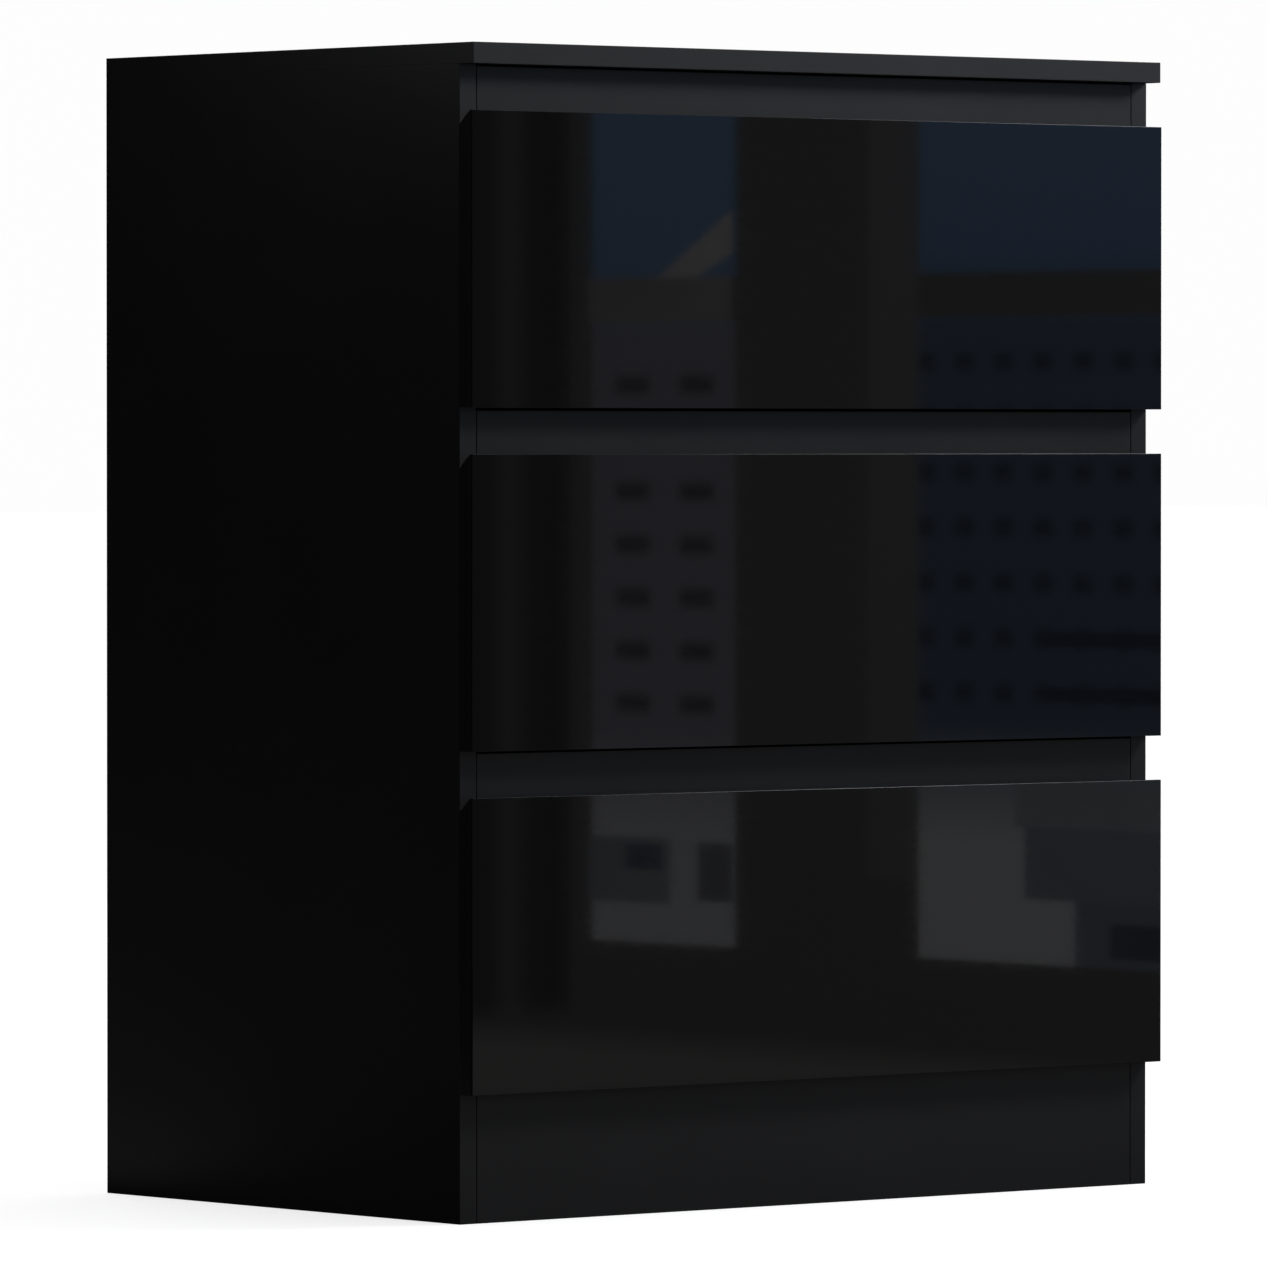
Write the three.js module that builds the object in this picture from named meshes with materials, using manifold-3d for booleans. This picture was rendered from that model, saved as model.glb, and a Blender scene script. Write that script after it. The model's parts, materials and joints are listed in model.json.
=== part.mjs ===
// A bedside chest with three handleless drawers: a flat-pack carcass of 15 mm boards, and drawers
// with high-gloss facings that slide on roller runners.
// Millimetres, +Z up, the drawers face -Y. The origin is the middle of the footprint, on the floor.
import * as THREE from "three";
import { mergeVertices } from "three/addons/utils/BufferGeometryUtils.js";
import Module from "manifold-3d";

const wasm = await Module();
wasm.setup();

// ---- Driving dimensions ----
const BOARD = 15; // carcass board thickness
const CARCASS_W = 650;
const CARCASS_D = 411;
const FRONT_H = 208; // each drawer front
const FRONT_W = 652;
const FINGER_GAP = 32.5; // open height above each drawer front, where fingers reach behind it
const FLOOR_TO_FRONT = 91; // floor to the lowest drawer front

const FACING = 3; // gloss sheet on the face of each drawer front
const FRONT_BOARD = 12; // board behind the facing, with the bevelled finger pull
const BEVEL_DROP = 10; // height of that bevel at the back of the board
const FRONT_CLEARANCE = 0.5; // closed front to carcass edge

const RAIL_H = 60; // front rails behind the finger gaps
const RAIL_DROP = 1.8; // top edge of a rail below the drawer front above it
const TOP_RAIL_H = 45;
const TOP_RAIL_DROP = 1.2; // top edge of the top rail below the top panel
const PLINTH_H = 100;
const FIT = 0.3; // play where one part fits inside another
const SEAM = 0.5; // end play of a board that stands between the side panels
const PANEL = 3; // hardboard of the back and of the drawer bases
const GROOVE_W = 3.4;
const GROOVE_D = 6;
const BACK_INSET = 10; // back panel's groove to the rear edges
const BACK_PANEL_FOOT = 60; // floor to the lower edge of the back panel

const RUNNER_ROOM = 12.5; // carcass side to drawer side
const DRAWER_BOARD = 12;
const DRAWER_H = 150; // drawer box height
const DRAWER_L = 350; // drawer box length behind the front
const BOX_LIFT = 22; // bottom of the front to the bottom of the drawer box
const BASE_LIFT = 10; // bottom of the drawer box to the groove for its base

const STEEL = 1.2;
const RUNNER_H = 25.2;
const TRAVEL = 250; // how far a drawer opens
const ROLLER_R = 10;
const AXLE_R = 2.5;
const AXLE_PLAY = 0.1;

const CAM_R = 7.5; // housings for cam connectors
const CAM_DEPTH = 12;
const CAM_DEPTH_DRAWER = 10;
const CAM_REACH = 34; // cam centre to the joint it pulls together
const CAM_FROM_EDGE = 55; // cams in the deep panels, in from the front and rear edges
const DRAWER_CAM_LEVELS = [0.3, 0.8]; // shares of the drawer side's height

// ---- Levels that follow ----
const OVERHANG = FACING + FRONT_BOARD + FRONT_CLEARANCE; // top panel past the carcass front
const PITCH = FRONT_H + FINGER_GAP;
const HEIGHT = FLOOR_TO_FRONT + 3 * PITCH + BOARD;
const SIDE_H = HEIGHT - BOARD;
const FACE_Y = -(CARCASS_D + OVERHANG) / 2; // front faces of the drawers and of the top panel
const CARCASS_Y = FACE_Y + OVERHANG;
const REAR_Y = -FACE_Y;
const INNER_X = CARCASS_W / 2 - BOARD;
const BACK_GROOVE_Y = REAR_Y - BACK_INSET - GROOVE_W;
const BOX_Y = FACE_Y + FACING + FRONT_BOARD; // front end of the drawer box
const BOX_X = INNER_X - RUNNER_ROOM; // outer faces of the drawer box
const SIDES = { left: -1, right: 1 };
const DRAWERS = { lower: 0, middle: 1, upper: 2 };

// ---- Materials ----
function material(color, roughness, metalness = 0) {
  return new THREE.MeshStandardMaterial({ color, roughness, metalness });
}
const CARCASS_BLACK = material(0x1b1c1e, 0.45);
const GLOSS_BLACK = material(0x050506, 0.04);
const FOIL_GREY = material(0x717275, 0.6);
const HARDBOARD = material(0x6b4a2f, 0.8);
const ZINC = material(0xb8babd, 0.35, 1);
const NYLON = material(0xe8e6df, 0.5);

// ---- Geometry helpers ----
// A closed three.js geometry as a manifold-3d solid, and back.
function solidOf(geometry) {
  const bare = geometry.clone();
  bare.deleteAttribute("normal");
  bare.deleteAttribute("uv");
  const merged = mergeVertices(bare, 1e-4);
  const mesh = new wasm.Mesh({
    numProp: 3,
    vertProperties: merged.attributes.position.array,
    triVerts: new Uint32Array(merged.index.array),
  });
  return new wasm.Manifold(mesh);
}

function geometryOf(solid) {
  const mesh = solid.getMesh();
  const geometry = new THREE.BufferGeometry();
  geometry.setAttribute("position", new THREE.BufferAttribute(mesh.vertProperties, 3));
  geometry.setIndex(new THREE.BufferAttribute(mesh.triVerts, 1));
  geometry.computeVertexNormals();
  return geometry;
}

function joined(...geometries) {
  return geometryOf(geometries.map(solidOf).reduce((sum, next) => sum.add(next)));
}

function cut(geometry, ...cutters) {
  return geometryOf(cutters.map(solidOf).reduce((rest, next) => rest.subtract(next), solidOf(geometry)));
}

// A box from its lowest to its highest corner.
function box(low, high) {
  const size = high.map((value, axis) => value - low[axis]);
  const middle = high.map((value, axis) => (value + low[axis]) / 2);
  return new THREE.BoxGeometry(...size).translate(...middle);
}

// An outline in the plane across one axis, extruded along that axis from one place to another.
function extruded(outline, axis, from, to) {
  const shape = new THREE.Shape(outline.map(([a, b]) => new THREE.Vector2(a, b)));
  const geometry = new THREE.ExtrudeGeometry(shape, { depth: to - from, bevelEnabled: false, steps: 1 });
  geometry.translate(0, 0, from);
  const turns = {
    x: new THREE.Matrix4().set(0, 0, 1, 0, 1, 0, 0, 0, 0, 1, 0, 0, 0, 0, 0, 1), // outline is (y, z)
    y: new THREE.Matrix4().set(1, 0, 0, 0, 0, 0, 1, 0, 0, -1, 0, 0, 0, 0, 0, 1), // outline is (x, -z)
    z: new THREE.Matrix4(), // outline is (x, y)
  };
  return geometry.applyMatrix4(turns[axis]);
}

// An outline of (distance in from a carcass side, height) points, extruded along Y on one side.
function runnerSection(outline, side, base, from, to) {
  const points = outline.map(([inward, up]) => [side * (INNER_X - inward), -(base + up)]);
  return extruded(points, "y", from, to);
}

// A cylinder along an axis, centred across it on a point.
function rod(radius, axis, centre, from, to, segments = 16) {
  const geometry = new THREE.CylinderGeometry(radius, radius, to - from, segments);
  if (axis === "x") geometry.rotateZ(-Math.PI / 2);
  if (axis === "z") geometry.rotateX(Math.PI / 2);
  const place = { x: 0, y: 0, z: 0, ...centre, [axis]: (from + to) / 2 };
  return geometry.translate(place.x, place.y, place.z);
}

function blindHole(axis, centre, surface, depth) {
  const past = Math.sign(depth) * -1;
  const [from, to] = [surface + past, surface + depth].sort((a, b) => a - b);
  return rod(CAM_R, axis, centre, from, to);
}

function add(group, name, geometry, finish) {
  const mesh = new THREE.Mesh(geometry, finish);
  mesh.name = name;
  group.add(mesh);
  return mesh;
}

// ---- Carcass ----
// A side panel from the floor to the top panel, grooved for the back.
function sidePanel(side) {
  const inner = side * INNER_X;
  const outer = side * (CARCASS_W / 2);
  const bottomOfGroove = inner + side * GROOVE_D;
  const outline = [
    [outer, CARCASS_Y],
    [inner, CARCASS_Y],
    [inner, BACK_GROOVE_Y],
    [bottomOfGroove, BACK_GROOVE_Y],
    [bottomOfGroove, BACK_GROOVE_Y + GROOVE_W],
    [inner, BACK_GROOVE_Y + GROOVE_W],
    [inner, REAR_Y],
    [outer, REAR_Y],
  ];
  const cams = [CARCASS_Y + CAM_FROM_EDGE, REAR_Y - CAM_FROM_EDGE].map((y) =>
    blindHole("x", { y, z: SIDE_H - CAM_REACH }, inner, side * CAM_DEPTH),
  );
  return cut(extruded(outline, "z", 0, SIDE_H), ...cams);
}

// The top overhangs the carcass by the thickness of the drawer fronts.
function topPanel() {
  const board = box([-CARCASS_W / 2, FACE_Y, SIDE_H], [CARCASS_W / 2, REAR_Y, HEIGHT]);
  const reach = INNER_X + GROOVE_D;
  const groove = box(
    [-reach, BACK_GROOVE_Y, SIDE_H - 1],
    [reach, BACK_GROOVE_Y + GROOVE_W, SIDE_H + GROOVE_D],
  );
  return cut(board, groove);
}

// A board on edge between the side panels, with a cam at each end of one face.
function crossBoard(y, z, camFace) {
  const half = INNER_X - SEAM;
  const board = box([-half, y, z[0]], [half, y + BOARD, z[1]]);
  const surface = camFace === "rear" ? y + BOARD : y;
  const depth = camFace === "rear" ? -CAM_DEPTH : CAM_DEPTH;
  const middle = (z[0] + z[1]) / 2;
  const cams = [-1, 1].map((end) => {
    return blindHole("y", { x: end * (half - CAM_REACH), z: middle }, surface, depth);
  });
  return cut(board, ...cams);
}

function bottomPanel() {
  const half = INNER_X - SEAM;
  const front = CARCASS_Y + BOARD;
  const under = PLINTH_H - BOARD;
  const board = box([-half, front + FIT, under], [half, BACK_GROOVE_Y - FIT, PLINTH_H]);
  const cams = [];
  for (const end of [-1, 1]) {
    for (const y of [front + CAM_FROM_EDGE, BACK_GROOVE_Y - CAM_FROM_EDGE]) {
      cams.push(blindHole("z", { x: end * (half - CAM_REACH), y }, under, CAM_DEPTH));
    }
  }
  return cut(board, ...cams);
}

function backPanel() {
  const half = INNER_X + GROOVE_D - FIT;
  const play = (GROOVE_W - PANEL) / 2;
  return box(
    [-half, BACK_GROOVE_Y + play, BACK_PANEL_FOOT],
    [half, BACK_GROOVE_Y + play + PANEL, SIDE_H + GROOVE_D - FIT],
  );
}

function carcass() {
  const group = new THREE.Group();
  const rearBoardY = BACK_GROOVE_Y - BOARD;
  add(group, "top_panel", topPanel(), CARCASS_BLACK);
  for (const [name, side] of Object.entries(SIDES)) {
    add(group, `side_panel_${name}`, sidePanel(side), CARCASS_BLACK);
  }
  add(group, "bottom_panel", bottomPanel(), CARCASS_BLACK);
  add(group, "back_panel", backPanel(), HARDBOARD);
  add(group, "plinth_front", crossBoard(CARCASS_Y, [0, PLINTH_H], "rear"), CARCASS_BLACK);
  add(group, "plinth_rear", crossBoard(rearBoardY, [0, PLINTH_H - BOARD - FIT], "front"), CARCASS_BLACK);
  const rails = {
    front_rail_lower: { top: FLOOR_TO_FRONT + PITCH - RAIL_DROP, height: RAIL_H },
    front_rail_upper: { top: FLOOR_TO_FRONT + 2 * PITCH - RAIL_DROP, height: RAIL_H },
    front_rail_top: { top: SIDE_H - TOP_RAIL_DROP, height: TOP_RAIL_H },
  };
  for (const [name, { top, height }] of Object.entries(rails)) {
    add(group, name, crossBoard(CARCASS_Y, [top - height, top], "rear"), CARCASS_BLACK);
  }
  add(group, "rear_rail_top", crossBoard(rearBoardY, [SIDE_H - RAIL_H, SIDE_H], "front"), CARCASS_BLACK);
  return group;
}

// ---- Drawers ----
// The front board's top edge is bevelled down to the back, as a finger pull behind the facing.
function frontBoard(z, boxZ) {
  const front = FACE_Y + FACING;
  const top = z + FRONT_H;
  const outline = [
    [front, z],
    [BOX_Y, z],
    [BOX_Y, top - BEVEL_DROP],
    [front, top],
  ];
  const reach = BOX_X - DRAWER_BOARD + GROOVE_D;
  const groove = box(
    [-reach, BOX_Y - GROOVE_D, boxZ + BASE_LIFT],
    [reach, BOX_Y + 1, boxZ + BASE_LIFT + GROOVE_W],
  );
  return cut(extruded(outline, "x", -FRONT_W / 2, FRONT_W / 2), groove);
}

function facing(z) {
  return box([-FRONT_W / 2, FACE_Y, z], [FRONT_W / 2, FACE_Y + FACING, z + FRONT_H]);
}

// A drawer side, grooved for the base, with two cams that pull it to the front board.
function drawerSide(side, boxZ) {
  const outer = side * BOX_X;
  const inner = side * (BOX_X - DRAWER_BOARD);
  const bottomOfGroove = inner + side * GROOVE_D;
  const low = boxZ + BASE_LIFT;
  const outline = [
    [outer, -boxZ],
    [inner, -boxZ],
    [inner, -low],
    [bottomOfGroove, -low],
    [bottomOfGroove, -(low + GROOVE_W)],
    [inner, -(low + GROOVE_W)],
    [inner, -(boxZ + DRAWER_H)],
    [outer, -(boxZ + DRAWER_H)],
  ];
  const cams = DRAWER_CAM_LEVELS.map((share) => {
    const centre = { y: BOX_Y + CAM_REACH, z: boxZ + share * DRAWER_H };
    return blindHole("x", centre, inner, side * CAM_DEPTH_DRAWER);
  });
  return cut(extruded(outline, "y", BOX_Y, BOX_Y + DRAWER_L), ...cams);
}

function drawerBack(boxZ) {
  const half = BOX_X - DRAWER_BOARD - FIT;
  const rear = BOX_Y + DRAWER_L;
  return box([-half, rear - DRAWER_BOARD, boxZ + BASE_LIFT + GROOVE_W], [half, rear, boxZ + DRAWER_H]);
}

function drawerBase(boxZ) {
  const half = BOX_X - DRAWER_BOARD + GROOVE_D - FIT;
  const play = (GROOVE_W - PANEL) / 2;
  const low = boxZ + BASE_LIFT + play;
  return box([-half, BOX_Y - GROOVE_D + FIT, low], [half, BOX_Y + DRAWER_L, low + PANEL]);
}

// ---- Runners ----
// Distances in from the carcass side, and heights above the cabinet member's lower flange.
const LIP_IN = 10; // inner face of the cabinet member
const LIP_H = 3.2;
const TOP_FLANGE_IN = 5.5;
const MEMBER_BELOW_BOX = 4; // drawer box above the cabinet member's underside
const SHELF_IN = 24; // flange that carries the drawer side
const ROLLER_IN = [2.4, 8.2];
const ROLLER_ROUND = { across: 1, down: 0.6 }; // the tread's rounded shoulders
const AXLE_UP = STEEL + FIT + ROLLER_R;
const RIDE_UP = AXLE_UP + ROLLER_R + FIT; // underside of the drawer member's riding flange
const RIDE_IN = 3.2;
const RIVET_R = 4;
const RIVET_HEAD = 0.7;
const MEMBER_SETBACK = 2; // cabinet member behind the carcass edge
const ROLLER_FROM_END = 14;
const FRONT_ROLLER_Y = CARCASS_Y + MEMBER_SETBACK + ROLLER_FROM_END;
const REAR_ROLLER_Y = BOX_Y + DRAWER_L - ROLLER_FROM_END;
const STOP_H = 4.7;
const STOP_L = 3;

// A roller's axle: a rivet from a runner's web, with its head past the roller.
function rivet(side, y, z, root, tip) {
  const underHead = tip + Math.sign(root - tip) * RIVET_HEAD;
  const [shank, head] = [[root, tip], [underHead, tip]].map((ends) => {
    return ends.map((inward) => side * (INNER_X - inward)).sort((p, q) => p - q);
  });
  return joined(rod(AXLE_R, "x", { y, z }, ...shank), rod(RIVET_R, "x", { y, z }, ...head));
}

// The member on the carcass: a channel with the front roller's axle and a tab that stops the drawer.
function cabinetMember(side, boxZ) {
  const base = boxZ - MEMBER_BELOW_BOX;
  const front = CARCASS_Y + MEMBER_SETBACK;
  const channel = [
    [0, 0],
    [LIP_IN, 0],
    [LIP_IN, LIP_H],
    [LIP_IN - STEEL, LIP_H],
    [LIP_IN - STEEL, STEEL],
    [STEEL, STEEL],
    [STEEL, RUNNER_H - STEEL],
    [TOP_FLANGE_IN, RUNNER_H - STEEL],
    [TOP_FLANGE_IN, RUNNER_H],
    [0, RUNNER_H],
  ];
  const stopRear = REAR_ROLLER_Y - TRAVEL - stopReach();
  const stop = [
    [ROLLER_IN[0], STEEL / 2],
    [ROLLER_IN[1], STEEL / 2],
    [ROLLER_IN[1], STOP_H],
    [ROLLER_IN[0], STOP_H],
  ];
  return joined(
    runnerSection(channel, side, base, front, front + DRAWER_L),
    runnerSection(stop, side, base, stopRear - STOP_L, stopRear),
    rivet(side, FRONT_ROLLER_Y, base + AXLE_UP, STEEL / 2, ROLLER_IN[1] + FIT + RIVET_HEAD),
  );
}

// How far ahead of its axle a roller meets the stop tab, with a little play.
function stopReach() {
  const below = AXLE_UP - STOP_H;
  return Math.sqrt(ROLLER_R ** 2 - below ** 2) + FIT;
}

// The member under the drawer side: a shelf that carries it, a web, and a flange that rides on the
// front roller. The rear roller's axle is riveted to the web.
function drawerMember(side, boxZ) {
  const base = boxZ - MEMBER_BELOW_BOX;
  const section = [
    [RIDE_IN, RIDE_UP],
    [RUNNER_ROOM - STEEL, RIDE_UP],
    [RUNNER_ROOM - STEEL, MEMBER_BELOW_BOX - STEEL],
    [SHELF_IN, MEMBER_BELOW_BOX - STEEL],
    [SHELF_IN, MEMBER_BELOW_BOX],
    [RUNNER_ROOM, MEMBER_BELOW_BOX],
    [RUNNER_ROOM, RIDE_UP + STEEL],
    [RIDE_IN, RIDE_UP + STEEL],
  ];
  return joined(
    runnerSection(section, side, base, BOX_Y, BOX_Y + DRAWER_L),
    rivet(side, REAR_ROLLER_Y, base + AXLE_UP, RUNNER_ROOM - STEEL / 2, ROLLER_IN[0] - FIT - RIVET_HEAD),
  );
}

// A nylon roller with a slightly rounded tread and a bore that clears its axle.
function roller() {
  const half = (ROLLER_IN[1] - ROLLER_IN[0]) / 2;
  const bore = AXLE_R + AXLE_PLAY;
  const shoulder = ROLLER_R - ROLLER_ROUND.down;
  const profile = [
    [bore, -half],
    [shoulder, -half],
    [ROLLER_R, -half + ROLLER_ROUND.across],
    [ROLLER_R, half - ROLLER_ROUND.across],
    [shoulder, half],
    [bore, half],
    [bore, -half],
  ];
  const geometry = new THREE.LatheGeometry(profile.map(([r, y]) => new THREE.Vector2(r, y)), 24);
  return geometry.rotateZ(-Math.PI / 2);
}

function runners(drawerName, boxZ) {
  const group = new THREE.Group();
  const axleZ = boxZ - MEMBER_BELOW_BOX + AXLE_UP;
  const rollerIn = (ROLLER_IN[0] + ROLLER_IN[1]) / 2;
  for (const [sideName, side] of Object.entries(SIDES)) {
    add(group, `${drawerName}_runner_cabinet_${sideName}`, cabinetMember(side, boxZ), ZINC);
    add(group, `${drawerName}_runner_drawer_${sideName}`, drawerMember(side, boxZ), ZINC);
    const places = { front: FRONT_ROLLER_Y, rear: REAR_ROLLER_Y };
    for (const [end, y] of Object.entries(places)) {
      const wheel = add(group, `${drawerName}_roller_${end}_${sideName}`, roller(), NYLON);
      wheel.position.set(side * (INNER_X - rollerIn), y, axleZ);
    }
  }
  return group;
}

function drawer(name, level) {
  const group = new THREE.Group();
  const z = FLOOR_TO_FRONT + level * PITCH;
  const boxZ = z + BOX_LIFT;
  add(group, `${name}_drawer_facing`, facing(z), GLOSS_BLACK);
  add(group, `${name}_drawer_front_board`, frontBoard(z, boxZ), CARCASS_BLACK);
  for (const [sideName, side] of Object.entries(SIDES)) {
    add(group, `${name}_drawer_side_${sideName}`, drawerSide(side, boxZ), FOIL_GREY);
  }
  add(group, `${name}_drawer_back`, drawerBack(boxZ), FOIL_GREY);
  add(group, `${name}_drawer_base`, drawerBase(boxZ), FOIL_GREY);
  group.add(runners(name, boxZ));
  return group;
}

const chest = new THREE.Group();
chest.add(carcass());
for (const [name, level] of Object.entries(DRAWERS)) {
  chest.add(drawer(name, level));
}

export default chest;
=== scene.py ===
"""The looks of a handleless three-drawer bedside chest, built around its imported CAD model.

Metres, in the CAD's own frame: +Z up, the drawers open towards -Y, the origin on the floor.
"""
import json
import math

import bmesh
import bpy
from mathutils import Matrix, Vector


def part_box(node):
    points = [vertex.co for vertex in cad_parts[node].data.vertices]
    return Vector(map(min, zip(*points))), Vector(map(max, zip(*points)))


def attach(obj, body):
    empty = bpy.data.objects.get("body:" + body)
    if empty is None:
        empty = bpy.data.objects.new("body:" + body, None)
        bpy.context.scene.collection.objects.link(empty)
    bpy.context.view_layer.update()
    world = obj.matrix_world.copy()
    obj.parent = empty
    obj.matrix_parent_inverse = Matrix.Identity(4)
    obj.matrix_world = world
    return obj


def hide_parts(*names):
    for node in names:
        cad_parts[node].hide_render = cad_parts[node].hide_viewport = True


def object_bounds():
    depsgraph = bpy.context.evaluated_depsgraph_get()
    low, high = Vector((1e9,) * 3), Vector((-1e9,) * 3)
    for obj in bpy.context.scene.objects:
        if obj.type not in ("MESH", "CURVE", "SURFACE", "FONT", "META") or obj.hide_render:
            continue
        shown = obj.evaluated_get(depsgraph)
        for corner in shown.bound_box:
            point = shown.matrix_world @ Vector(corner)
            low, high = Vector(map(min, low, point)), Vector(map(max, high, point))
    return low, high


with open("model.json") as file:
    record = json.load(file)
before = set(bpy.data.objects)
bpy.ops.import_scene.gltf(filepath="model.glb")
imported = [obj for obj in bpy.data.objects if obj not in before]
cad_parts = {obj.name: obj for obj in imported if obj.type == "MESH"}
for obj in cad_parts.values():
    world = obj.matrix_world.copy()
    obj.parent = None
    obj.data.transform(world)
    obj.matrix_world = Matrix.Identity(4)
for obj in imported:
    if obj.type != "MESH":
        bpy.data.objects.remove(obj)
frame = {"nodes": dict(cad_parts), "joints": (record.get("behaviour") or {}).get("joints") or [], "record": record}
CAD_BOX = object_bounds()
NODES = frame["nodes"]

MM = 0.001
DRAWERS = ("lower", "middle", "upper")
SIDES = {"left": -1, "right": 1}
FIT = 0.3 * MM  # play where one part fits inside another, as in the CAD

# ---- The photo's viewpoint ----
CAMERA_PLACE = Vector((-4.9864, -6.0003, 0.5489))
CAMERA_HEADING = math.radians(39.715)  # to the right of +Y
CAMERA_DIP = math.radians(1.04)  # below level
CAMERA_LENS = 302.1


# ---- Small node-tree helpers ----
class Nodes:
    """Adds nodes to a material's or world's tree, and links them by name."""

    def __init__(self, owner):
        owner.use_nodes = True
        self.tree = owner.node_tree
        self.tree.nodes.clear()

    def add(self, kind, inputs=None, **settings):
        node = self.tree.nodes.new(kind)
        for key, value in settings.items():
            setattr(node, key, value)
        for key, value in (inputs or {}).items():
            self.put(node.inputs[key], value)
        return node

    def put(self, socket, value):
        if isinstance(value, bpy.types.NodeSocket):
            self.tree.links.new(value, socket)
        else:
            socket.default_value = value

    def noise(self, scale, detail=2.0, roughness=0.5, vector=None):
        inputs = {"Scale": scale, "Detail": detail, "Roughness": roughness}
        if vector is not None:
            inputs["Vector"] = vector
        return self.add("ShaderNodeTexNoise", inputs).outputs["Fac"]

    def stretched(self, scale):
        """Object coordinates scaled along each axis."""
        place = self.add("ShaderNodeTexCoord").outputs["Object"]
        return self.add("ShaderNodeMapping", {"Vector": place, "Scale": scale}).outputs["Vector"]

    def ramp(self, factor, *stops):
        node = self.add("ShaderNodeValToRGB", {"Fac": factor})
        elements = node.color_ramp.elements
        while len(elements) < len(stops):
            elements.new(0.5)
        for element, (position, color) in zip(elements, stops):
            element.position = position
            element.color = (*color, 1.0)
        return node.outputs["Color"]

    def span(self, value, low, high, to_low, to_high):
        inputs = {"Value": value, "From Min": low, "From Max": high, "To Min": to_low, "To Max": to_high}
        return self.add("ShaderNodeMapRange", inputs).outputs["Result"]

    def math(self, operation, a, b=0.0):
        node = self.add("ShaderNodeMath", operation=operation)
        self.put(node.inputs[0], a)
        self.put(node.inputs[1], b)
        return node.outputs["Value"]

    def bump(self, height, strength, distance):
        inputs = {"Height": height, "Strength": strength, "Distance": distance}
        return self.add("ShaderNodeBump", inputs).outputs["Normal"]


def principled(name, build):
    """A material whose build(nodes) returns the Principled inputs that it sets."""
    material = bpy.data.materials.new(name)
    nodes = Nodes(material)
    shader = nodes.add("ShaderNodeBsdfPrincipled", build(nodes))
    nodes.add("ShaderNodeOutputMaterial", {"Surface": shader.outputs["BSDF"]})
    return material


# ---- Materials ----
def melamine(nodes):
    """Satin black melamine: a fine pearl grain and faint clouding in its sheen."""
    grain = nodes.noise(1900, 3, 0.6, nodes.stretched((1, 1, 1)))
    clouds = nodes.noise(14, 4, 0.6, nodes.stretched((1, 1, 1)))
    tint = nodes.ramp(clouds, (0.3, (0.0115, 0.0115, 0.0119)), (0.7, (0.0135, 0.0135, 0.0140)))
    return {
        "Base Color": tint,
        "Roughness": nodes.span(clouds, 0.3, 0.7, 0.405, 0.425),
        "Specular IOR Level": 0.45,
        "Normal": nodes.bump(grain, 0.08, 0.0002),
    }


def acrylic(nodes):
    """High-gloss black acrylic: almost a mirror, with faint wiping marks."""
    wiping = nodes.noise(60, 4, 0.6, nodes.stretched((1, 1, 4)))
    tint = nodes.ramp(wiping, (0.2, (0.0012, 0.0012, 0.0013)), (0.8, (0.0018, 0.0018, 0.0020)))
    wave = nodes.noise(5, 0, 0.3, nodes.stretched((1, 1, 1)))
    return {
        "Base Color": tint,
        "Roughness": nodes.span(wiping, 0.35, 0.75, 0.020, 0.035),
        "IOR": 1.49,
        "Normal": nodes.bump(wave, 0.02, 0.0006),
    }


def gloss_band(nodes):
    """The board behind the gloss sheet: black edge band with a semi-gloss, finely milled surface."""
    lines = nodes.noise(900, 2, 0.5, nodes.stretched((0.05, 1, 1)))
    tint = nodes.ramp(lines, (0.3, (0.0050, 0.0050, 0.0053)), (0.7, (0.0072, 0.0072, 0.0075)))
    return {
        "Base Color": tint,
        "Roughness": nodes.span(lines, 0.3, 0.7, 0.12, 0.18),
        "Normal": nodes.bump(lines, 0.05, 0.0001),
    }


def linen_foil(nodes):
    """Matt grey drawer foil, pressed with a fine linen weave."""
    threads = {"Scale": 330.0, "Distortion": 1.5, "Detail": 2.0, "Detail Scale": 0.3}
    place = nodes.stretched((1, 1, 1))
    warp = nodes.add("ShaderNodeTexWave", {"Vector": place, **threads}, bands_direction="Z").outputs["Fac"]
    weft = nodes.add("ShaderNodeTexWave", {"Vector": place, **threads}, bands_direction="Y").outputs["Fac"]
    weave = nodes.math("MAXIMUM", warp, weft)
    slubs = nodes.noise(120, 3, 0.6, nodes.stretched((1, 0.1, 1)))
    mixed = nodes.math("ADD", nodes.math("MULTIPLY", weave, 0.6), nodes.math("MULTIPLY", slubs, 0.4))
    tint = nodes.ramp(mixed, (0.25, (0.125, 0.127, 0.131)), (0.85, (0.205, 0.208, 0.214)))
    return {
        "Base Color": tint,
        "Roughness": nodes.span(weave, 0.0, 1.0, 0.66, 0.52),
        "Normal": nodes.bump(weave, 0.3, 0.0002),
    }


def hardboard(nodes):
    """Brown hardboard: mottled wood fibre with dark flecks."""
    fibre = nodes.noise(240, 6, 0.7, nodes.stretched((1, 1, 1)))
    mottle = nodes.noise(18, 3, 0.5, nodes.stretched((1, 1, 1)))
    mixed = nodes.math("ADD", nodes.math("MULTIPLY", fibre, 0.65), nodes.math("MULTIPLY", mottle, 0.35))
    tint = nodes.ramp(mixed, (0.35, (0.075, 0.040, 0.020)), (0.5, (0.150, 0.085, 0.045)),
                      (0.68, (0.215, 0.130, 0.072)))
    return {
        "Base Color": tint,
        "Roughness": nodes.span(fibre, 0.3, 0.7, 0.72, 0.85),
        "Normal": nodes.bump(fibre, 0.35, 0.0004),
    }


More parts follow.
